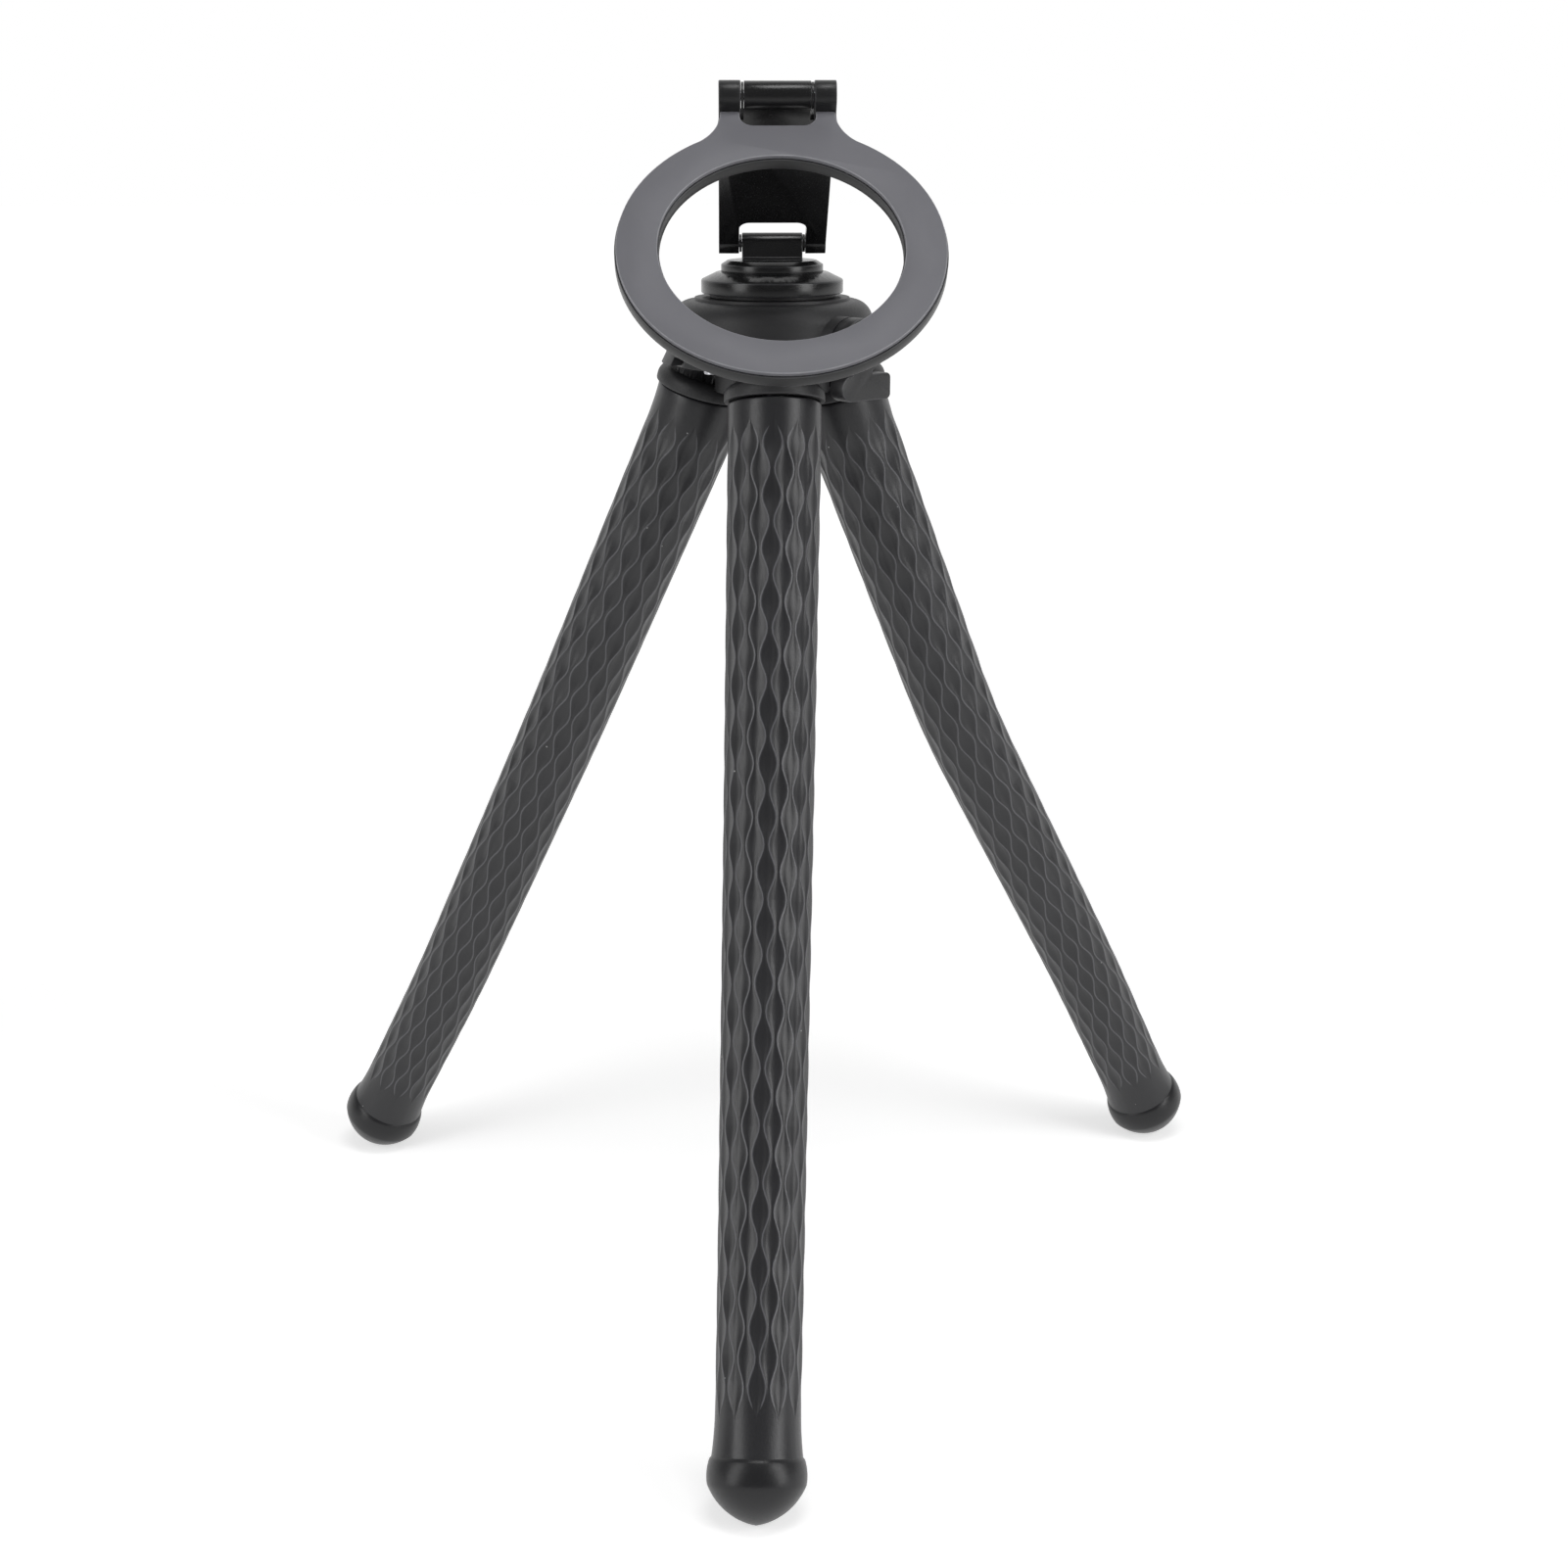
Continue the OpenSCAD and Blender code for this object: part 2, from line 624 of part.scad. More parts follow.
module hinge_base() color(satin_black) difference() {
    union() {
        translate([0, 0, base_z]) cylinder(d = base_d, h = base_h);
        translate([0, 0, base_z + base_h])
            cylinder(d1 = base_d, d2 = base_d - 2 * base_chamfer_w, h = base_chamfer_h);
        translate([-lug_w / 2, -low_knuckle_d / 2 - lug_step, base_top - weld])
            cube([lug_w, low_knuckle_d + 2 * lug_step, knuckle_gap / 2 + weld]);
        translate([-lug_w / 2, -low_knuckle_d / 2, base_top - weld])
            cube([lug_w, low_knuckle_d, low_axis_z - base_top + weld]);
        translate([0, 0, low_axis_z]) x_bar(low_knuckle_d, -lug_w / 2, lug_w / 2);
    }
    translate([0, 0, base_z - end_room])
        cylinder(d = spindle_d + 2 * push_fit, h = spindle_top - base_z + end_room);
    translate([0, 0, low_axis_z]) x_bar(low_pin_d + 2 * push_fit, -lug_w, lug_w);
}

module lower_hinge_pin() color(steel)
    translate([0, 0, low_axis_z]) x_bar(low_pin_d, -pin_len / 2, pin_len / 2);

module lower_hinge_washers() color(steel)
    translate([0, 0, low_axis_z]) for (side = [0, 1]) mirror([side, 0, 0])
        translate([lug_w / 2 + face_gap, 0, 0]) rotate([0, 90, 0])
            washer(low_knuckle_d - 2 * hinge_washer_in, low_pin_d + 2 * push_fit, hinge_washer_t);

// The arm

module arm_plate() color(satin_black) at_arm() difference() {
    union() {
        rotate([90, 0, 0]) linear_extrude(arm_t, center = true) difference() {
            union() {
                translate([-arm_w / 2, 0]) square([arm_w, arm_len - arm_shoulder]);
                translate([-barrel_w / 2, 0]) square([barrel_w, arm_len]);
            }
            round_top_slot(2 * low_ear_in, -arm_notch, arm_notch, arm_notch_r);
        }
        for (side = [0, 1]) mirror([side, 0, 0]) x_bar(low_knuckle_d, low_ear_in, arm_w / 2);
        translate([0, 0, arm_len]) x_bar(barrel_d, -barrel_w / 2, barrel_w / 2);
    }
    x_bar(low_pin_d + 2 * running_fit, -arm_w, arm_w);
    translate([0, 0, arm_len]) x_bar(up_pin_d + 2 * running_fit, -arm_w, arm_w);
}

// The ring

module ring_housing() color(satin_black) at_ring() difference() {
    union() {
        translate([0, 0, housing_z]) linear_extrude(housing_t) difference() {
            ring_outline(0);
            neck_recess(0);
        }
        for (side = [0, 1]) mirror([side, 0, 0]) {
            x_bar(ear_d, ear_in, arm_w / 2);
            translate([ear_in, -ear_d / 2, housing_z]) cube([arm_w / 2 - ear_in, ear_d / 2 + ear_back, -housing_z]);
        }
    }
    translate([0, -ring_reach, housing_z - end_room]) cylinder(d = ring_id, h = housing_t + 2 * end_room);
    translate([0, -ring_reach, pocket_z]) washer(2 * pocket_out, 2 * pocket_in, housing_t);
    x_bar(up_pin_d + 2 * push_fit, -arm_w, arm_w);
}

module ring_face() color(face_grey) at_ring()
    translate([0, 0, face_z]) linear_extrude(face_t) difference() {
        ring_outline(face_inset);
        translate([0, -ring_reach]) circle(d = ring_id + 2 * face_inset);
        neck_recess(face_inset);
        translate([-arm_w, -ear_d / 2 - push_fit]) square([2 * arm_w, ear_d]);
    }

module yoke_ring() color(steel) at_ring()
    translate([0, -ring_reach, pocket_z])
        washer(2 * (pocket_out - push_fit), 2 * (pocket_in + push_fit), yoke_t);

module magnets() color(wire_grey) at_ring() {
    pitch = 360 / magnet_count;
    gap_angle = magnet_gap / pocket_in * 180 / PI;
    for (i = [0:magnet_count - 1])
        translate([0, -ring_reach, pocket_z + yoke_t]) rotate([0, 0, i * pitch + gap_angle / 2])
            rotate_extrude(angle = pitch - gap_angle)
                translate([pocket_in + face_gap, 0])
                    square([pocket_out - pocket_in - 2 * face_gap, magnet_t]);
}

module upper_hinge_pin() color(steel)
    at_ring() x_bar(up_pin_d, -pin_len / 2, pin_len / 2);

module upper_hinge_washers() color(steel)
    at_ring() for (side = [0, 1]) mirror([side, 0, 0])
        translate([barrel_w / 2 + face_gap, 0, 0]) rotate([0, 90, 0])
            washer(ear_d - 2 * hinge_washer_in, up_pin_d + 2 * push_fit, hinge_washer_t);

// The legs

// Round upper end of link i, with its tapered body down to the length end
module link_body(i, end) {
    r = leg_r(i * link_len);
    intersection() {
        circle(r = r);
        translate([0, -r]) square(r);
    }
    polygon([[0, 0], [r, 0], [leg_r(i * link_len + end), end], [0, end]]);
}

// A sleeve length with a hollow for the next one at its lower end
module sleeve_outline(i) difference() {
    link_body(i, link_len);
    translate([0, link_len]) swing_room(leg_r((i + 1) * link_len) + move_gap);
    translate([0, -leg_root_d]) square([core_d / 2 + running_fit, leg_root_d + link_len]);
}

// The lowest sleeve length, which flares out to the foot
module tip_outline() difference() {
    union() {
        link_body(LINKS - 1, sleeve_end);
        polygon([
            [0, sleeve_end - flare_len], [leg_tip_d / 2, sleeve_end - flare_len],
            [leg_tip_d / 2 + flare, sleeve_end], [0, sleeve_end]
        ]);
    }
    translate([0, -leg_root_d]) square([core_d / 2 + running_fit, leg_root_d + sleeve_end]);
    translate([0, sleeve_end - stem_len - face_gap]) square([stem_d / 2 + running_fit, stem_len + end_room]);
}

module sleeve(k, i) color(rubber)
    at_link(k, i) rotate_extrude()
        if (i < LINKS - 1) sleeve_outline(i);
        else tip_outline();

module core(k, i) color(wire_grey) at_link(k, i) {
    start = core_cover - leg_r(i * link_len);
    stop = i < LINKS - 1
        ? link_len - leg_r((i + 1) * link_len) - move_gap - end_room
        : sleeve_end - stem_len - 2 * face_gap;
    translate([0, 0, start]) cylinder(d = core_d, h = stop - start);
}

module foot(k) color(foot_rubber)
    at_link(k, LINKS - 1) rotate_extrude() {
        translate([0, tip_len]) intersection() {
            circle(d = foot_d);
            translate([-flank_across, flank_along]) circle(r = foot_flank_r);
            translate([0, -foot_top]) square([foot_d, foot_top + foot_tip - tip_trim]);
        }
        translate([0, sleeve_end - stem_len]) square([stem_d / 2, stem_len + foot_top]);
    }

leg_hub();
dome();
hub_screws();
swivel_bush();
leg_anchors();
brake_shoe();
lock_lever();
lock_screw();
lever_screw();
swivel_disc();
friction_pad();
swivel_spindle();
spindle_washer();
spindle_nut();
hinge_base();
lower_hinge_pin();
lower_hinge_washers();
arm_plate();
upper_hinge_pin();
upper_hinge_washers();
ring_housing();
ring_face();
magnets();
yoke_ring();
for (k = [0:2], i = [0:LINKS - 1]) {
    sleeve(k, i);
    core(k, i);
}
for (k = [0:2])
    foot(k);
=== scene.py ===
# %% [markdown]
# # A small tripod with bendable legs
# The stand has three rubber legs that bend anywhere, a hub with a swivel on it, a folding arm and a
# flat magnetic ring. The CAD model gives every piece its place, so this lesson only dresses it: it
# makes the moulded rubber, the broken edges and the finishes that the eye expects.

# %% Load the frame
import json
import math

import bpy
import numpy as np
from mathutils import Matrix, Vector


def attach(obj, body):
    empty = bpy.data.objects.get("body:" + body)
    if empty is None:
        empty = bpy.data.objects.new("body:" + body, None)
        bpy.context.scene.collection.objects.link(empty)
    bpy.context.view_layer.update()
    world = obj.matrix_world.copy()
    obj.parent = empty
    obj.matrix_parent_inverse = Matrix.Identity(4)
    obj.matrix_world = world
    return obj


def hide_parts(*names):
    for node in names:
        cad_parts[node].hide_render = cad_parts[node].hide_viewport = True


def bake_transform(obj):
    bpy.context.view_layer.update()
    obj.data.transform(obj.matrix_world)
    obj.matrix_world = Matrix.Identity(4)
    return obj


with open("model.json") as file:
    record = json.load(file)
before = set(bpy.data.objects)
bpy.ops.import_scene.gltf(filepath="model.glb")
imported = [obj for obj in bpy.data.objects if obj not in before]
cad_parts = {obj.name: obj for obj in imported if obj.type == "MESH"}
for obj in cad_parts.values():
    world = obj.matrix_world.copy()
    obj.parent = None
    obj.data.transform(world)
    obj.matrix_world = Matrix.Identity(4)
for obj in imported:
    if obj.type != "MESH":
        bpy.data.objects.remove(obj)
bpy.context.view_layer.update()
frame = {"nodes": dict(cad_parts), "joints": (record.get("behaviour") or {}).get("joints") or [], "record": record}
MM = 0.001
joints = {joint["name"]: joint for joint in frame["joints"]}

# %% [markdown]
# ## Camera
# The photograph was taken from a little above the ring, with the front leg pointing at the lens. A
# camera is found by asking where it must stand so that the ring, the hub and the feet fall on their
# places in the picture. A lens of about 52 mm on a 36 mm frame gives the same perspective.

# %% Camera
SENSOR, FOCAL_PIXELS, PICTURE_PIXELS = 36, 2300, 1601
lens = bpy.data.cameras.new("Camera")
lens.sensor_fit = "HORIZONTAL"
lens.sensor_width = SENSOR
lens.lens = SENSOR * FOCAL_PIXELS / PICTURE_PIXELS
lens.clip_start = 0.01
camera = bpy.data.objects.new("Camera", lens)
camera.location = Vector((-12.24, -453.98, 239.49)) * MM
camera.rotation_euler = (math.radians(73.48), 0, math.radians(-1.84))
bpy.context.scene.collection.objects.link(camera)
bpy.context.scene.camera = camera
bpy.context.scene.view_settings.view_transform = "Standard"
print("lens", round(lens.lens, 2), "mm")

# %% [markdown]
# ## Floor, background and light
# The picture has a white ground. A floor that is pale and also glows a little for the camera turns
# white where light falls on it and keeps a soft shadow under the feet. Two tall soft boxes beside the
# stand draw the upright bands of light on the turned discs, and a wide one above lights the ring.

# %% Floor and background
def only(obj):
    """Leave obj as the one selected and active object."""
    bpy.ops.object.select_all(action="DESELECT")
    obj.select_set(True)
    bpy.context.view_layer.objects.active = obj
    return obj


def add_node(tree, kind, inputs=(), **settings):
    """Add a shader node, set its properties, and link or set its inputs by name or number."""
    node = tree.nodes.new("ShaderNode" + kind)
    for key, value in settings.items():
        setattr(node, key, value)
    for key, value in dict(inputs).items():
        if isinstance(value, bpy.types.NodeSocket):
            tree.links.new(value, node.inputs[key])
        else:
            node.inputs[key].default_value = value
    return node


def seen_directly(tree, mirrored):
    """One for rays from the camera; mirror images of it count as much as mirrored says."""
    path = add_node(tree, "LightPath")
    images = add_node(tree, "Math", {
        0: path.outputs["Is Glossy Ray"], 1: path.outputs["Is Transmission Ray"]})
    share = add_node(tree, "Math", {0: images.outputs[0], 1: mirrored}, operation="MULTIPLY")
    seen = add_node(tree, "Math", {0: path.outputs["Is Camera Ray"], 1: share.outputs[0]}, use_clamp=True)
    return seen.outputs[0]


def towards_back(tree, place, start, end):
    """Rises from nought to one as the Y of place goes from start to end."""
    split = add_node(tree, "SeparateXYZ", {0: place})
    rise = add_node(tree, "MapRange", {0: split.outputs["Y"], 1: start, 2: end}, interpolation_type="SMOOTHSTEP")
    return rise.outputs[0]


bpy.ops.object.select_all(action="DESELECT")
bpy.ops.mesh.primitive_plane_add(size=12, location=(0, 0, 0))
floor = bpy.context.active_object
floor.name = "floor"
pale = bpy.data.materials.new("pale floor")
pale.use_nodes = True
tree = pale.node_tree
tree.nodes.remove(tree.nodes["Principled BSDF"])
matt = add_node(tree, "BsdfDiffuse", {"Color": (0.8, 0.8, 0.8, 1)})
place = add_node(tree, "TexCoord").outputs["Object"]
mirrored = towards_back(tree, place, -0.6, 0.0)
distance = add_node(tree, "VectorMath", {0: place}, operation="LENGTH")
far_glow = add_node(tree, "MapRange", {0: distance.outputs["Value"], 1: 0.25, 2: 1.1, 3: 0.58, 4: 0.88})
glow_level = add_node(
    tree, "Math", {0: seen_directly(tree, mirrored), 1: far_glow.outputs[0]}, operation="MULTIPLY")
glow = add_node(tree, "Emission", {"Strength": glow_level.outputs[0]})
both = add_node(tree, "AddShader", {0: matt.outputs[0], 1: glow.outputs[0]})
tree.links.new(both.outputs[0], tree.nodes["Material Output"].inputs["Surface"])
floor.data.materials.append(pale)

world = bpy.data.worlds.new("white room")
bpy.context.scene.world = world
world.use_nodes = True
tree = world.node_tree
behind = towards_back(tree, add_node(tree, "TexCoord").outputs["Generated"], -0.1, 0.75)
level = add_node(tree, "MapRange", {0: seen_directly(tree, behind), 3: 0.2, 4: 1.0})
tree.links.new(level.outputs[0], tree.nodes["Background"].inputs["Strength"])
tree.nodes["Background"].inputs["Color"].default_value = (1, 1, 1, 1)


def soft_box(name, place, aim, width, height, watts):
    """A rectangular lamp that stands at place and faces aim."""
    lamp = bpy.data.lights.new(name, "AREA")
    lamp.shape, lamp.size, lamp.size_y, lamp.energy = "RECTANGLE", width, height, watts
    obj = bpy.data.objects.new(name, lamp)
    obj.location = place
    obj.rotation_euler = (Vector(aim) - Vector(place)).to_track_quat("-Z", "Y").to_euler()
    bpy.context.scene.collection.objects.link(obj)
    return obj


AIM = (0, 0, 0.15)
soft_box("left box", (-0.74, -0.52, 0.45), AIM, width=0.36, height=0.9, watts=3.3)
soft_box("right box", (0.74, -0.52, 0.45), AIM, width=0.36, height=0.9, watts=4.3)
soft_box("top box", (0.08, -0.28, 1.0), AIM, width=0.42, height=0.3, watts=2.3)
print("floor, room and three soft boxes")

# %% [markdown]
# ## Effects that several finishes share
# Moulded plastic, rubber and paint differ in colour, yet all have a fine grain, slow patches of tone, a
# few specks of dust and paler edges, partly rubbed wear and partly a painted highlight. Each effect is
# built once as a node group, which puts out masks and heights only, so that every material keeps its own shader.

# %% Grain, dust, and rubbed edges with a painted highlight
def new_group(name, inputs, outputs):
    group = bpy.data.node_groups.new(name, "ShaderNodeTree")
    for label, value in inputs:
        socket = group.interface.new_socket(label, in_out="INPUT", socket_type="NodeSocketFloat")
        socket.default_value = value
    for label in outputs:
        group.interface.new_socket(label, in_out="OUTPUT", socket_type="NodeSocketFloat")
    return group, group.nodes.new("NodeGroupInput"), group.nodes.new("NodeGroupOutput")


def object_place(tree):
    return add_node(tree, "TexCoord").outputs["Object"]


moulded_grain, grain_in, grain_out = new_group(
    "moulded grain", [("Grains per metre", 2500), ("Patches per metre", 60)], ["Height", "Patches"])
fine = add_node(moulded_grain, "TexNoise", {
    "Vector": object_place(moulded_grain), "Scale": grain_in.outputs[0], "Detail": 2.0, "Roughness": 0.6})
slow = add_node(moulded_grain, "TexNoise", {
    "Vector": object_place(moulded_grain), "Scale": grain_in.outputs[1], "Detail": 3.0})
patchy = add_node(moulded_grain, "MapRange", {0: slow.outputs["Fac"], 1: 0.3, 2: 0.7})
moulded_grain.links.new(fine.outputs["Fac"], grain_out.inputs["Height"])
moulded_grain.links.new(patchy.outputs[0], grain_out.inputs["Patches"])

dust_specks, dust_in, dust_out = new_group(
    "dust specks", [("Specks per metre", 350), ("Share", 0.1)], ["Mask"])
cells = add_node(dust_specks, "TexVoronoi", {
    "Vector": object_place(dust_specks), "Scale": dust_in.outputs[0], "Randomness": 1.0})
speck = add_node(dust_specks, "MapRange", {0: cells.outputs["Distance"], 1: 0.03, 2: 0.07, 3: 1.0, 4: 0.0})
cell_colour = add_node(dust_specks, "SeparateColor", {0: cells.outputs["Color"]})
chosen = add_node(dust_specks, "Math", {0: cell_colour.outputs[0], 1: dust_in.outputs[1]}, operation="LESS_THAN")
masked = add_node(dust_specks, "Math", {0: speck.outputs[0], 1: chosen.outputs[0]}, operation="MULTIPLY")
dust_specks.links.new(masked.outputs[0], dust_out.inputs["Mask"])

# Paler bevel faces: partly rubbed wear, partly a painted highlight for the light that the bevels catch.
rubbed_edges_and_highlight, edge_group_in, edge_group_out = new_group("rubbed edges and painted highlight", [("Breaks per metre", 300)], ["Mask"])
edge = add_node(rubbed_edges_and_highlight, "Attribute", attribute_name="edge")
breaks = add_node(rubbed_edges_and_highlight, "TexNoise", {
    "Vector": object_place(rubbed_edges_and_highlight), "Scale": edge_group_in.outputs[0], "Detail": 2.0})
broken_up = add_node(rubbed_edges_and_highlight, "MapRange", {0: breaks.outputs["Fac"], 1: 0.35, 2: 0.65, 3: 0.55, 4: 1.0})
edge_mask = add_node(rubbed_edges_and_highlight, "Math", {0: edge.outputs["Fac"], 1: broken_up.outputs[0]}, operation="MULTIPLY")
rubbed_edges_and_highlight.links.new(edge_mask.outputs[0], edge_group_out.inputs["Mask"])

brushed_lines, brush_in, brush_out = new_group("brushed lines", [("Lines per metre", 3000)], ["Height"])
stretch = add_node(brushed_lines, "Mapping", {"Vector": object_place(brushed_lines), "Scale": (0.06, 0.06, 1.0)})
lines = add_node(brushed_lines, "TexNoise", {
    "Vector": stretch.outputs[0], "Scale": brush_in.outputs[0], "Detail": 3.0})
brushed_lines.links.new(lines.outputs["Fac"], brush_out.inputs["Height"])
print("groups:", [group.name for group in bpy.data.node_groups])

# %% [markdown]
# ## Finishes
# Every finish starts from two near tones that the slow patches mix, then the paler edges, partly rubbed
# wear and partly a painted highlight, and the dust go over them. The grain drives both the roughness and a
# bump, so a dull spot is also a rough one. Only the values differ from rubber to paint.

# %% One recipe for all finishes
def placed(tree, group, **values):
    node = tree.nodes.new("ShaderNodeGroup")
    node.node_tree = group
    for label, value in values.items():
        node.inputs[label.replace("_", " ")].default_value = value
    return node


def mixed(tree, share, low, high):
    """Mix two colours, each of which is a tone, a colour or another node's output."""
    node = add_node(tree, "Mix", {0: share}, data_type="RGBA")
    for number, value in ((6, low), (7, high)):
        if isinstance(value, bpy.types.NodeSocket):
            tree.links.new(value, node.inputs[number])
        else:
            node.inputs[number].default_value = (*value, 1)
    return node.outputs[2]


finishes = {}
DUST = (0.45, 0.45, 0.45)
GRAIN_HEIGHT = 0.0002


def finish(name, tones, rough, grain, bump, metallic=0.0, specular=0.5, rub_and_highlight=None, dust=0.0, brushed=False):
    """Make the finish of a material slot: tones and rough are pairs, grain is in grains per metre."""
    material = bpy.data.materials.new(name)
    material.use_nodes = True
    tree = material.node_tree
    shader = tree.nodes["Principled BSDF"]
    shader.inputs["Metallic"].default_value = metallic
    shader.inputs["Specular IOR Level"].default_value = specular
    texture = placed(tree, moulded_grain, Grains_per_metre=grain)
    colour = mixed(tree, texture.outputs["Patches"], *tones)
    height = texture.outputs["Height"]
    if brushed:
        height = placed(tree, brushed_lines).outputs["Height"]
    # The rub colour on the bevel faces is partly rubbed wear and partly a painted highlight.
    if rub_and_highlight:
        colour = mixed(tree, placed(tree, rubbed_edges_and_highlight).outputs["Mask"], colour, rub_and_highlight)
    if dust:
        colour = mixed(tree, placed(tree, dust_specks, Share=dust).outputs["Mask"], colour, DUST)
    roughness = add_node(tree, "MapRange", {0: height, 1: 0.3, 2: 0.7, 3: rough[0], 4: rough[1]})
    relief = add_node(tree, "Bump", {"Height": height, "Strength": bump, "Distance": GRAIN_HEIGHT})
    tree.links.new(colour, shader.inputs["Base Color"])
    tree.links.new(roughness.outputs[0], shader.inputs["Roughness"])
    tree.links.new(relief.outputs[0], shader.inputs["Normal"])
    finishes[name] = material
    return tree, shader, colour


def grey(level, blue=1.06):
    """A grey whose blue is a little stronger, as in the photograph's light."""
    return (level, level, level * blue)


# The rub tones are the paler bevel colours: rubbed wear and a painted highlight.
finish("foot_rubber", (grey(0.009, 1.12), grey(0.013, 1.12)), (0.3, 0.4), 3000, 0.08, specular=0.4, dust=0.03)
finish("hub_plastic", (grey(0.017), grey(0.023)), (0.42, 0.56), 3500, 0.25, specular=0.4, rub_and_highlight=grey(0.045), dust=0.03)
finish("lever_plastic", (grey(0.015), grey(0.02)), (0.36, 0.5), 3500, 0.2, specular=0.45, rub_and_highlight=grey(0.05), dust=0.03)
finish("black_metal", (grey(0.007), grey(0.009)), (0.2, 0.28), 4000, 0.06, specular=0.42, rub_and_highlight=grey(0.04), dust=0.02)
finish("ring_black", (grey(0.010), grey(0.013)), (0.3, 0.42), 4000, 0.1, specular=0.4, rub_and_highlight=grey(0.06), dust=0.02)
finish("face_grey", (grey(0.150, 1.1), grey(0.162, 1.1)), (0.42, 0.52), 6000, 0.1, specular=0.3,
       rub_and_highlight=grey(0.3), dust=0.01)
finish("nickel", (grey(0.62, 0.97), grey(0.7, 0.96)), (0.16, 0.26), 3000, 0.05, metallic=1.0)
finish("steel", (grey(0.48), grey(0.56)), (0.25, 0.4), 3000, 0.15, metallic=1.0, brushed=True)
finish("black_screw", (grey(0.010), grey(0.014)), (0.3, 0.45), 4000, 0.15, rub_and_highlight=grey(0.06))
finish("brass", ((0.60, 0.42, 0.17), (0.7, 0.5, 0.22)), (0.25, 0.4), 3000, 0.12, metallic=1.0, brushed=True)
finish("pad_plastic", (grey(0.03), grey(0.04)), (0.5, 0.65), 3000, 0.2)
finish("core_wire", (grey(0.5), grey(0.58)), (0.35, 0.5), 2500, 0.2, metallic=1.0, brushed=True)
print(len(finishes), "finishes")

# %% [markdown]
# ## Leg rubber
# The legs are moulded in a dark rubber. Their raised lines are painted paler than the hollows between
# them: a painted highlight where the lines catch the light, with some rubbing. The sleeve meshes carry an
# attribute called line that is one along a raised line and nought elsewhere, and the painted highlight follows it.

# %% Leg rubber with a painted highlight on its lines
tree, shader, colour = finish(
    "sleeve_rubber", (grey(0.015, 1.12), grey(0.02, 1.12)), (0.3, 0.4), 3000, 0.1, specular=0.5, dust=0.1)
# Painted highlight: the colour turns pale grey along the raised lines, where the line attribute is high.
line = add_node(tree, "Attribute", attribute_name="line")
painted_line_highlight = add_node(tree, "MapRange", {0: line.outputs["Fac"], 1: 0.5, 2: 0.95})
tree.links.new(mixed(tree, painted_line_highlight.outputs[0], colour, grey(0.12, 1.08)), shader.inputs["Base Color"])
print("leg rubber with paler lines")

# %% [markdown]
# ## Inner pieces
# Screws, pins, washers, magnets and the wire cores keep their CAD shapes, because almost none of them
# is ever seen. They still get the finish that their material slot names, except the hinge washers, which take the
# black screw finish.

# %% Finishes on the CAD nodes
slot_of = {part["node"]: part["material_slot"] for part in frame["record"]["subparts"]}
for node, obj in frame["nodes"].items():
    obj.data.materials.clear()
    obj.data.materials.append(finishes[slot_of[node]])
for node in ("lower_hinge_washers", "upper_hinge_washers"):
    frame["nodes"][node].data.materials[0] = finishes["black_screw"]
print(len(slot_of), "nodes dressed")

# %% [markdown]
# ## Leg sleeves
# A sleeve is a tube with wavy lines round it. Neighbouring lines wave against each other, so they
# enclose rows of almond-shaped hollows. The tube could be carved by hand, but there are more than a
# thousand hollows, so a flat grid is embossed by a formula and rolled up round the leg's middle line.
# It is made in five lengths, one across each bending point.

# %% The leg's middle line
LEGS = ("front", "right", "left")
CUP_ANGLE = dict(front=-90, right=30, left=150)
CUP_LEAN = math.radians(17)
TIP_SPLAY = dict(front=29.8, right=27.849, left=29.208)
MOUTH, LINK, TIP, FOOT_TOP = -4.8 * MM, 38 * MM, 43 * MM, 3.2 * MM
SLEEVE_END = 4 * LINK + TIP - FOOT_TOP
FIRST_ROUNDING, ROUNDING = 4.5 * MM, 12 * MM


class MiddleLine:
    """The path of a leg, measured from its first bending point, with every corner rounded."""

    def __init__(self, leg):
        self.bends = [Vector(joints[f"{leg}_bend_{i}"]["pos_m"]) for i in range(1, 6)]
        cup = math.radians(CUP_ANGLE[leg])
        way = self.bends[4] - self.bends[0]
        out = Vector((way.x, way.y, 0)).normalized()
        down = Vector((0, 0, -1))
        cup_out = Vector((math.cos(cup), math.sin(cup), 0))
        self.ways = [cup_out * math.sin(CUP_LEAN) + down * math.cos(CUP_LEAN)]
        self.ways += [(self.bends[i + 1] - self.bends[i]).normalized() for i in range(4)]
        tip = math.radians(TIP_SPLAY[leg])
        self.ways.append(out * math.sin(tip) + down * math.cos(tip))
        self.rounding = [FIRST_ROUNDING] + [ROUNDING] * 4

    def at(self, s):
        """Point and direction at the distance s."""
        i = min(max(int(round(s / LINK)), 0), 4)
        away, r = s - i * LINK, self.rounding[i]
        before, after = self.ways[i], self.ways[i + 1]
        if abs(away) >= r:
            way = after if away > 0 else before
            return self.bends[i] + way * away, way
        t = (away + r) / (2 * r)
        point = self.bends[i] - before * r * (1 - t) ** 2 + after * r * t ** 2
        return point, before.lerp(after, t).normalized()


middle = {leg: MiddleLine(leg) for leg in LEGS}
print("leg length", round(SLEEVE_END / MM, 1), "mm")

# %% The embossed pattern
LINES, CELL = 24, 10.25 * MM
FIRST, ROWS_PER_CELL, ACROSS = 0.5 * MM, 10, 5
CELLS = 18
LIP_GAP, LIP = 0.3 * MM, 0.5 * MM
SWAY, END_SWAY, CREST, DEPTH = 0.3, 0.43, 0.12 * MM, 0.42 * MM
ROOT_D, TAPER = 18.2, 2.96
FLARE, FLARE_R = 9 * MM, 8.2 * MM


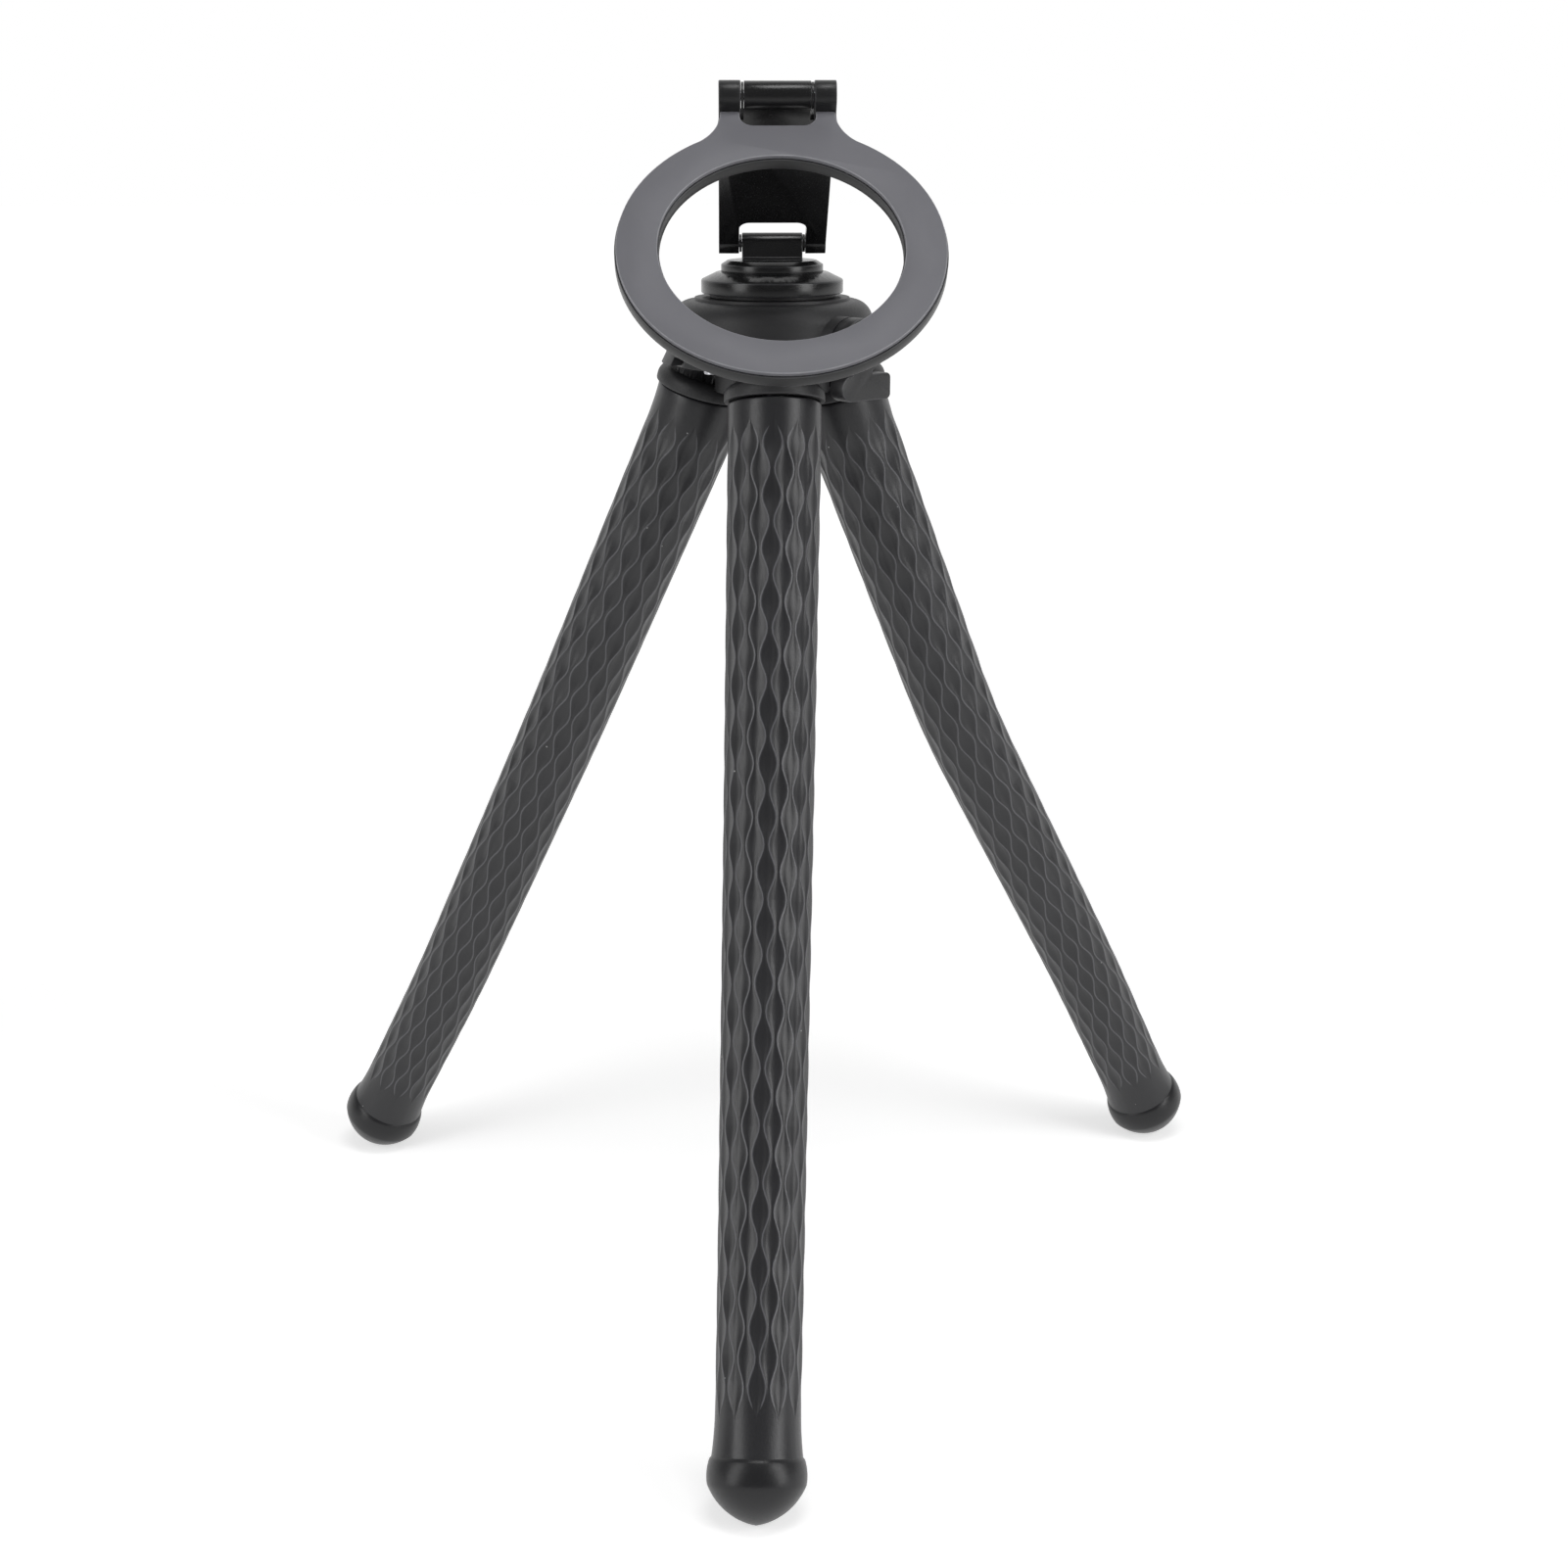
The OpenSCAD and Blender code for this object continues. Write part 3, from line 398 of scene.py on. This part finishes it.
def plain_radius(s):
    """Radius of the bare tube: a long taper and a flare down to the foot."""
    taper = (ROOT_D - TAPER * np.clip(s, 0, None) / (4 * LINK + TIP)) / 2 * MM
    t = np.clip((s - SLEEVE_END + FLARE) / FLARE, 0, 1)
    lip = np.clip((MOUTH + LIP_GAP + LIP - s) / LIP, 0, 1)
    return taper + t * t * (FLARE_R - taper) - LIP * (1 - math.sqrt(1 - lip ** 2))


def emboss(s):
    """Angles and radii of one row of points round the tube, and how much painted highlight each point gets from the
    raised lines.
    """
    radius = plain_radius(s)
    step = 2 * math.pi / LINES
    phase = np.clip((s - FIRST) / CELL, 0, CELLS)
    wave = -math.cos(2 * math.pi * phase)
    inwards = min(s - FIRST, FIRST + CELLS * CELL - s) / (CELL / 4)
    shown = min(max(inwards, 0), 1)
    sway = SWAY + (END_SWAY - SWAY) * (1 - shown) ** 2
    angles, radii, line_highlight = [], [], []
    for j in range(LINES):
        sign = 1 if j % 2 == 0 else -1
        wide = step * (1 + 2 * sway * sign * wave)
        left = (j - 0.5) * step - sway * step * sign * wave
        crest = CREST / radius
        full = step * (1 + 2 * SWAY) - 2 * crest
        late = 0 if sign > 0 else 0.5
        inside = late <= (s - FIRST) / CELL <= CELLS - late
        deep = DEPTH * (wide - 2 * crest) / full if inside else 0
        angles.append(left)
        radii.append(radius)
        line_highlight.append(shown)
        for v in np.linspace(0, 1, ACROSS):
            angles.append(left + crest + (wide - 2 * crest) * v)
            radii.append(radius - deep * 4 * v * (1 - v))
            line_highlight.append(0.7 * shown if v in (0, 1) else 0)
    return angles, radii, line_highlight


def sleeve_length(name, line, start, end):
    """Add a grid, emboss it, and roll it round the middle line from start to end."""
    columns = LINES * (ACROSS + 1)
    stations = np.linspace(start, end, max(3, round((end - start) / CELL * ROWS_PER_CELL) + 1))
    if start == MOUTH:
        lip = MOUTH + LIP_GAP + LIP * (1 - np.cos(np.linspace(0, math.pi / 2, 5)))
        stations = np.concatenate([lip, stations[2:]])
    rows = len(stations) - 1
    bpy.ops.object.select_all(action="DESELECT")
    bpy.ops.mesh.primitive_grid_add(x_subdivisions=columns, y_subdivisions=rows, size=2)
    tube = bpy.context.active_object
    tube.name = tube.data.name = name
    flat = np.array([v.co[:2] for v in tube.data.vertices])
    column = np.rint((flat[:, 0] + 1) / 2 * columns).astype(int) % columns
    row = np.rint((flat[:, 1] + 1) / 2 * rows).astype(int)
    place = np.zeros((rows + 1, columns, 3))
    line_highlight_grid = np.zeros((rows + 1, columns))
    for n in range(rows + 1):
        s = stations[n]
        point, way = line.at(s)
        side = Vector((0, 0, 1)).cross(way).normalized()
        front = way.cross(side)
        angles, radii, line_highlight = emboss(s)
        turn = np.outer(np.cos(angles), front) + np.outer(np.sin(angles), side)
        place[n] = np.array(point) + turn * np.array(radii)[:, None]
        line_highlight_grid[n] = line_highlight
    tube.data.vertices.foreach_set("co", place[row, column].astype(np.float32).ravel())
    # The line attribute carries the painted highlight of the raised lines.
    marks = tube.data.attributes.new("line", "FLOAT", "POINT")
    marks.data.foreach_set("value", line_highlight_grid[row, column].astype(np.float32))
    bpy.ops.object.mode_set(mode="EDIT")
    bpy.ops.mesh.select_all(action="SELECT")
    bpy.ops.mesh.remove_doubles(threshold=0.00001)
    bpy.ops.mesh.fill_holes(sides=0)
    bpy.ops.mesh.normals_make_consistent(inside=False)
    bpy.ops.object.mode_set(mode="OBJECT")
    bpy.ops.object.shade_smooth_by_angle(angle=math.radians(50))
    tube.data.materials.append(finishes["sleeve_rubber"])
    return tube


half_cells = [4, 11, 18, 26]
seams = [MOUTH] + [FIRST + n * CELL / 2 for n in half_cells] + [SLEEVE_END]
for leg in LEGS:
    for i in range(5):
        tube = sleeve_length(f"{leg}_rubber_{i + 1}", middle[leg], seams[i], seams[i + 1])
        stop = seams[i + 1] if i < 4 else 2 * 4 * LINK - seams[4]
        middle[leg].at(seams[i] + 0.3 * MM)[0]
        middle[leg].at(stop - 0.3 * MM)[0]
        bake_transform(tube)
        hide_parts(f"{leg}_sleeve_{i + 1}")
    print(leg, "leg:", len(tube.data.polygons), "faces in its last length")

# %% [markdown]
# ## Feet
# A foot is a rubber acorn: a rounded shoulder under the sleeve, then a flank that runs in to a blunt
# point. Any turned shape is easiest as half a profile, drawn point by point from one vertex and spun
# round its axis.

# %% Feet
def turned(name, profile, steps=96):
    """Draw a profile of radius and height in millimetres by extruding one vertex, and spin it round Z."""
    bpy.ops.object.select_all(action="DESELECT")
    bpy.ops.mesh.primitive_plane_add(size=0.001)
    obj = bpy.context.active_object
    obj.name = obj.data.name = name
    bpy.ops.object.mode_set(mode="EDIT")
    bpy.ops.mesh.select_all(action="SELECT")
    bpy.ops.mesh.merge(type="CENTER")
    here = Vector((0, 0, 0))
    first = Vector((profile[0][0], 0, profile[0][1])) * MM
    bpy.ops.transform.translate(value=first - here)
    here = first
    for radius, height in profile[1:]:
        there = Vector((radius, 0, height)) * MM
        bpy.ops.mesh.extrude_region_move(TRANSFORM_OT_translate={"value": there - here})
        here = there
    bpy.ops.mesh.select_all(action="SELECT")
    bpy.ops.mesh.spin(steps=steps, angle=2 * math.pi, center=(0, 0, 0), axis=(0, 0, 1))
    bpy.ops.mesh.select_all(action="SELECT")
    bpy.ops.mesh.remove_doubles(threshold=0.000005)
    bpy.ops.mesh.normals_make_consistent(inside=False)
    bpy.ops.object.mode_set(mode="OBJECT")
    return obj


FOOT_R, FOOT_POINT = 9.0, 8.5
FLANK_R, FLANK_START, FLANK_END = 11.6, 64, 9


def acorn():
    """Foot profile in millimetres along the leg, measured from its widest place: stem, shoulder and flank."""
    points = [(0, -11.8), (3.7, -11.8), (4.0, -11.5), (4.0, -3.25)]
    for h in np.linspace(-3.2, 1.6, 14):
        points.append((math.sqrt(FOOT_R ** 2 - h ** 2) - (0.18 if h < -3.1 else 0), h))
    across = -FLANK_R * math.sin(math.radians(FLANK_END))
    along = FOOT_POINT - FLANK_R * math.cos(math.radians(FLANK_END))
    for angle in np.linspace(FLANK_START, FLANK_END, 24):
        a = math.radians(angle)
        points.append((max(across + FLANK_R * math.sin(a), 0), along + FLANK_R * math.cos(a)))
    points[-1] = (0, FOOT_POINT)
    return points


for leg in LEGS:
    foot = turned(f"{leg}_foot_rubber", acorn())
    way = middle[leg].ways[5]
    turn = way.to_track_quat("Z", "Y").to_matrix().to_4x4()
    foot.matrix_world = Matrix.Translation(middle[leg].bends[4] + way * TIP) @ turn
    only(foot)
    bpy.ops.object.transform_apply(location=True, rotation=True, scale=True)
    bpy.ops.object.shade_smooth_by_angle(angle=math.radians(40))
    foot.data.materials.append(finishes["foot_rubber"])
    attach(foot, f"{leg}_link_5")
    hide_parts(f"{leg}_foot")
    print(leg, "foot:", len(foot.data.polygons), "faces")

# %% [markdown]
# ## Hard pieces with broken edges
# Moulded and machined pieces never have knife edges. For the shapes that the CAD model already holds
# exactly, the quick way is to copy the solid, join its loose triangles into whole faces and run a Bevel
# modifier along the sharp edges. The bevel's faces are marked, so that they get the paler edge colour:
# partly rubbed wear and partly a painted highlight.

# %% Broken edges
def broken_edges(node, name, body, width, segments=2, sharp=30, chosen=None):
    """Copy a CAD node, bevel its sharp or chosen edges by width millimetres and mark the new faces."""
    copy = bpy.data.objects.new(name, frame["nodes"][node].data.copy())
    bpy.context.scene.collection.objects.link(copy)
    only(copy)
    copy.data.materials.clear()
    for slot in ("plain", "bevelled"):
        copy.data.materials.append(finishes[slot_of[node]])
    bpy.ops.object.mode_set(mode="EDIT")
    bpy.ops.mesh.select_all(action="SELECT")
    bpy.ops.mesh.remove_doubles(threshold=0.000002)
    bpy.ops.mesh.dissolve_limited(angle_limit=math.radians(0.3))
    bpy.ops.object.mode_set(mode="OBJECT")
    bevel = copy.modifiers.new("broken edges", "BEVEL")
    bevel.width, bevel.segments = width * MM, segments
    bevel.limit_method, bevel.angle_limit = "ANGLE", math.radians(sharp)
    if chosen:
        ends = [[copy.data.vertices[v].co for v in edge.vertices] for edge in copy.data.edges]
        weights = copy.data.attributes.new("bevel_weight_edge", "FLOAT", "EDGE")
        weights.data.foreach_set("value", [float(chosen(a, b)) for a, b in ends])
        bevel.limit_method = "WEIGHT"
    bevel.material = 1
    bpy.ops.object.modifier_apply(modifier=bevel.name)
    # The edge attribute marks the bevel faces, which get a paler colour: rubbed wear and a painted highlight.
    marks = np.array([face.material_index for face in copy.data.polygons], np.float32)
    edge = copy.data.attributes.new("edge", "FLOAT", "FACE")
    edge.data.foreach_set("value", marks)
    copy.data.polygons.foreach_set("material_index", np.zeros(len(marks), np.int32))
    copy.data.materials.pop(index=1)
    bpy.ops.object.shade_smooth_by_angle(angle=math.radians(sharp))
    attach(copy, body)
    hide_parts(node)
    print(name, len(copy.data.polygons), "faces,", int(marks.sum()), "of them on edges")
    return copy


def on_cup_rim(a, b):
    """Whether an edge runs round the mouth of one of the cups."""
    for line in middle.values():
        mouth, way = line.at(MOUTH)
        if max(abs((a - mouth).dot(way)), abs((b - mouth).dot(way))) < 0.01 * MM:
            return abs((a - mouth).length - (b - mouth).length) < 0.01 * MM
    return False


broken_edges("ring_housing", "ring_back", "ring", 0.25)
broken_edges("ring_face", "ring_front", "ring", 0.18)
broken_edges("arm_plate", "arm", "arm", 0.25)
broken_edges("hinge_base", "hinge_seat", "swivel", 0.2)
broken_edges("swivel_disc", "swivel_plate", "swivel", 0.25)
broken_edges("dome", "hub_dome", "hub", 0.3)
broken_edges("leg_hub", "hub_cups", "hub", 0.25, chosen=on_cup_rim)
broken_edges("lock_lever", "thumb_lever", "lever", 0.4)
